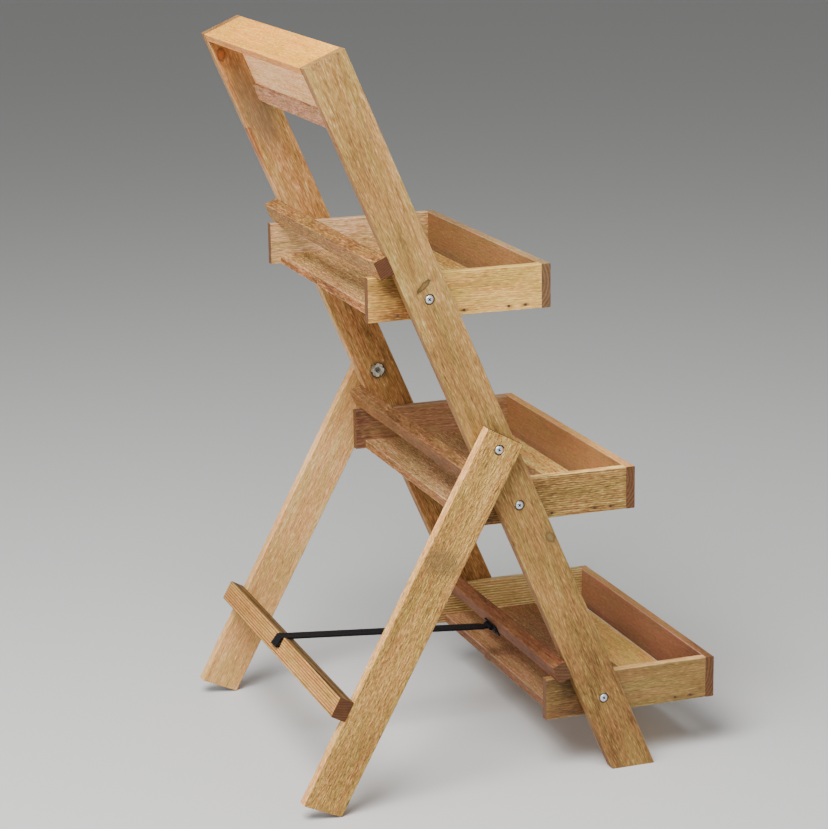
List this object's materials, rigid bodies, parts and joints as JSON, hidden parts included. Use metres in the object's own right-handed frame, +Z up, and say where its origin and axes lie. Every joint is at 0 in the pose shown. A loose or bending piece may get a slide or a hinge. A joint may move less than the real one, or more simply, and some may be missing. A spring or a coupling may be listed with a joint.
{
  "type": "plant ladder stand",
  "caption": "Folding wooden ladder stand with tilting plant trays, hinged rear legs and a steel stay.",
  "frame": {"origin": "on the floor, in the middle of the outline", "axes": "+Z up, front of the stand towards -Y, X across the stand"},
  "size_m": [0.494, 0.576, 0.946],
  "materials": {
    "stile_wood": "brown stained pine",
    "panel_wood": "pale brown pine",
    "batten_wood": "brown stained pine",
    "leg_wood": "rough sawn brown pine",
    "tray_wood": "brown stained pine",
    "floor_wood": "brown stained pine",
    "nail_steel": "dull steel",
    "zinc": "bright zinc",
    "black_steel": "black paint"
  },
  "bodies": {
    "front_frame": {"stile_left": "stile_wood", "stile_right": "stile_wood", "top_cap": "stile_wood", "top_panel": "panel_wood", "top_rail": "batten_wood", "crossbar_top": "batten_wood", "crossbar_middle": "batten_wood", "crossbar_bottom": "batten_wood", "cap_nails": "nail_steel", "panel_nails": "nail_steel", "rail_nails": "nail_steel", "crossbar_nails": "nail_steel", "leg_bolts": "zinc", "leg_tnuts": "zinc", "leg_washers": "zinc", "stay_bracket": "black_steel", "stay_pin": "black_steel", "stay_screws": "black_steel"},
    "rear_legs": {"rear_leg_left": "leg_wood", "rear_leg_right": "leg_wood", "rear_batten": "batten_wood", "batten_nails": "nail_steel"},
    "stay": {"stay_strap": "black_steel"},
    "top_tray": {"tray_top_side_left": "tray_wood", "tray_top_side_right": "tray_wood", "tray_top_front": "tray_wood", "tray_top_floor_front": "floor_wood", "tray_top_floor_rear": "floor_wood", "tray_top_bolts": "zinc", "tray_top_inserts": "zinc", "tray_top_washers": "zinc", "tray_top_nails": "nail_steel"},
    "middle_tray": {"tray_middle_side_left": "tray_wood", "tray_middle_side_right": "tray_wood", "tray_middle_front": "tray_wood", "tray_middle_floor_front": "floor_wood", "tray_middle_floor_rear": "floor_wood", "tray_middle_bolts": "zinc", "tray_middle_inserts": "zinc", "tray_middle_washers": "zinc", "tray_middle_nails": "nail_steel"},
    "bottom_tray": {"tray_bottom_side_left": "tray_wood", "tray_bottom_side_right": "tray_wood", "tray_bottom_front": "tray_wood", "tray_bottom_floor_front": "floor_wood", "tray_bottom_floor_rear": "floor_wood", "tray_bottom_bolts": "zinc", "tray_bottom_inserts": "zinc", "tray_bottom_washers": "zinc", "tray_bottom_nails": "nail_steel"}
  },
  "joints": [
    {"name": "rear_legs_fold", "type": "hinge", "parent": "front_frame", "child": "rear_legs", "pos_m": [0, 0.02552, 0.44921], "axis": [-1, 0, 0], "range_deg": [0, 43]},
    {"name": "top_tray_tilt", "type": "hinge", "parent": "front_frame", "child": "top_tray", "pos_m": [0, 0.10679, 0.64067], "axis": [-1, 0, 0], "range_deg": [0, 112]},
    {"name": "middle_tray_tilt", "type": "hinge", "parent": "front_frame", "child": "middle_tray", "pos_m": [0, -0.00808, 0.37004], "axis": [-1, 0, 0], "range_deg": [0, 112]},
    {"name": "bottom_tray_tilt", "type": "hinge", "parent": "front_frame", "child": "bottom_tray", "pos_m": [0, -0.12296, 0.09942], "axis": [-1, 0, 0], "range_deg": [0, 112]},
    {"name": "stay_swing", "type": "hinge", "parent": "front_frame", "child": "stay", "pos_m": [0.002, -0.0541, 0.13162], "axis": [1, 0, 0], "range_deg": [0, 57]}
  ]
}
